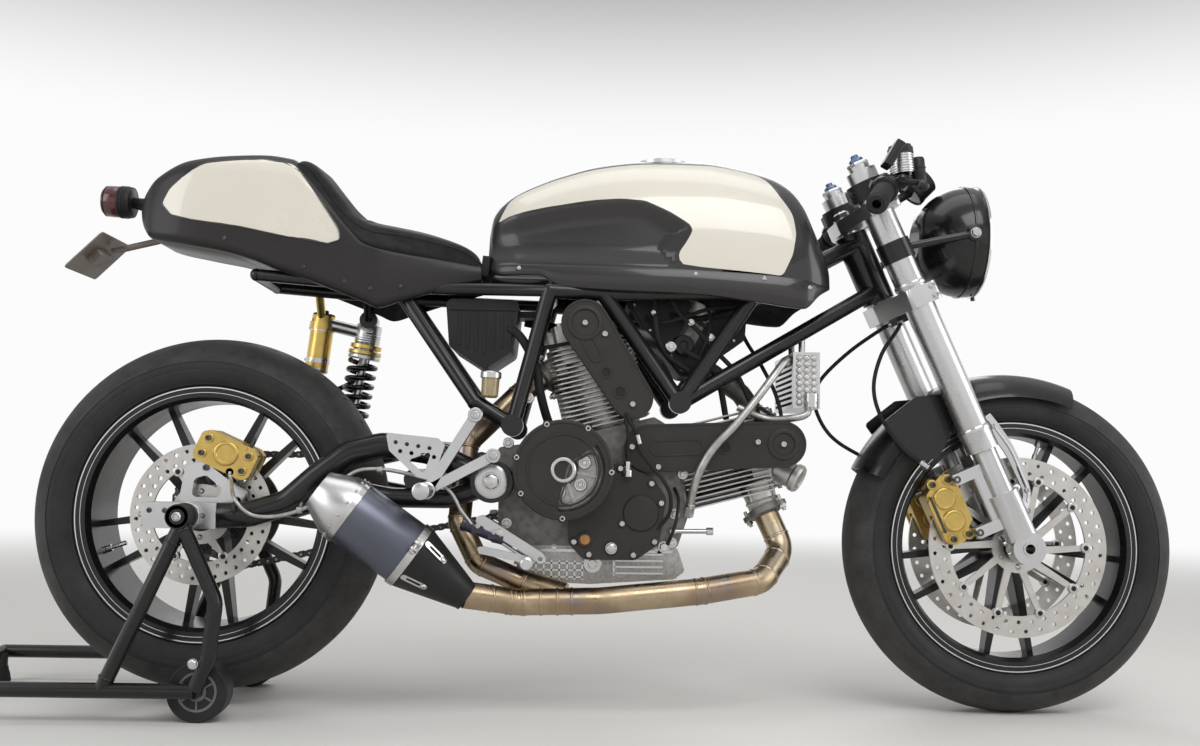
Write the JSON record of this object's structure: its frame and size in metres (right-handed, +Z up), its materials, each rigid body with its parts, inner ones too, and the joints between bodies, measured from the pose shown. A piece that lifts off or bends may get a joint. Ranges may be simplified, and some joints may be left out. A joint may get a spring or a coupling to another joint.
{
  "type": "cafe racer motorcycle on a paddock stand",
  "caption": "Cafe racer motorcycle with a V-twin engine, trellis frame, clip-on bars and humped tail, upright on its rear paddock stand.",
  "frame": {"origin": "on the floor, at the middle of the outer box of the motorcycle and its stand", "axes": "+X forward along the motorcycle, +Y to the rider's left, +Z up"},
  "size_m": [2.216, 0.7174, 1.0069],
  "materials": {
    "tyre_rubber": "matte black rubber",
    "wheel_black": "gloss black",
    "disc_steel": "ground steel",
    "satin_aluminium": "satin polished",
    "fork_chrome": "satin polished",
    "bright_steel": "machined",
    "gold_anodised": "gold anodised satin",
    "dark_gloss": "dark gloss",
    "black_paint": "gloss black",
    "lamp_glass": "clear",
    "black_rubber": "matte",
    "black_metal": "satin black",
    "frame_black": "gloss black",
    "engine_grey": "cast, painted grey",
    "engine_dark": "dark satin",
    "cast_fins": "cast",
    "belt_graphite": "graphite satin",
    "bronzed_steel": "heat-stained",
    "muffler_blue_grey": "satin blue-grey",
    "chain_steel": "oiled",
    "spring_black": "gloss black",
    "tank_ivory": "gloss ivory",
    "body_graphite": "satin metallic graphite",
    "seat_suede": "black suede",
    "lamp_red": "red lens in a black shell",
    "plate_grey": "blank plate"
  },
  "bodies": {
    "machine": {"trellis_frame": "frame_black", "engine_block": "engine_grey", "right_engine_cover": "engine_dark", "clutch_cover": "engine_dark", "clutch_pack": "bright_steel", "left_engine_cover": "engine_dark", "front_cylinder": "cast_fins", "rear_cylinder": "cast_fins", "belt_covers": "belt_graphite", "oil_sump": "cast_fins", "throttle_bodies": "cast_fins", "battery_box": "black_metal", "oil_cooler": "satin_aluminium", "exhaust_headers": "bronzed_steel", "muffler": "muffler_blue_grey", "swingarm": "frame_black", "rear_axle": "satin_aluminium", "drive_chain": "chain_steel", "rear_caliper": "gold_anodised", "shock_absorber": "satin_aluminium", "shock_spring": "spring_black", "shock_reservoir": "gold_anodised", "rearset_plates": "satin_aluminium", "foot_controls": "black_metal", "fuel_tank": "tank_ivory", "tail_cowl": "body_graphite", "seat_pad": "seat_suede", "tail_light": "lamp_red", "number_plate": "plate_grey", "paddock_stand": "frame_black"},
    "steering": {"fork_clamps": "satin_aluminium", "fork_tubes": "satin_aluminium", "fork_sliders": "fork_chrome", "front_axle": "bright_steel", "front_calipers": "gold_anodised", "front_fender": "dark_gloss", "headlight": "black_paint", "headlight_lens": "lamp_glass", "handlebars": "black_rubber", "hand_controls": "black_metal", "instrument": "black_metal", "brake_hoses": "black_rubber"},
    "front_wheel": {"front_tyre": "tyre_rubber", "front_rim": "wheel_black", "front_discs": "disc_steel"},
    "rear_wheel": {"rear_tyre": "tyre_rubber", "rear_rim": "wheel_black", "rear_disc": "disc_steel", "rear_sprocket": "disc_steel"},
    "roller_right": {"stand_roller_right": "black_rubber"},
    "roller_left": {"stand_roller_left": "black_rubber"}
  },
  "joints": [
    {"name": "steering_turn", "type": "hinge", "parent": "machine", "child": "steering", "pos_m": [0.55356, 0, 0.79995], "axis": [-0.4003, 0, 0.9164], "range_deg": [-27, 27]},
    {"name": "front_wheel_spin", "type": "hinge", "parent": "steering", "child": "front_wheel", "pos_m": [0.808, 0, 0.3], "axis": [0, 1, 0], "continuous": true},
    {"name": "rear_wheel_spin", "type": "hinge", "parent": "machine", "child": "rear_wheel", "pos_m": [-0.637, 0, 0.337], "axis": [0, 1, 0], "continuous": true},
    {"name": "right_roller_spin", "type": "hinge", "parent": "machine", "child": "roller_right", "pos_m": [-0.601, -0.168, 0.05], "axis": [0, 1, 0], "continuous": true},
    {"name": "left_roller_spin", "type": "hinge", "parent": "machine", "child": "roller_left", "pos_m": [-0.601, 0.168, 0.05], "axis": [0, 1, 0], "continuous": true}
  ]
}
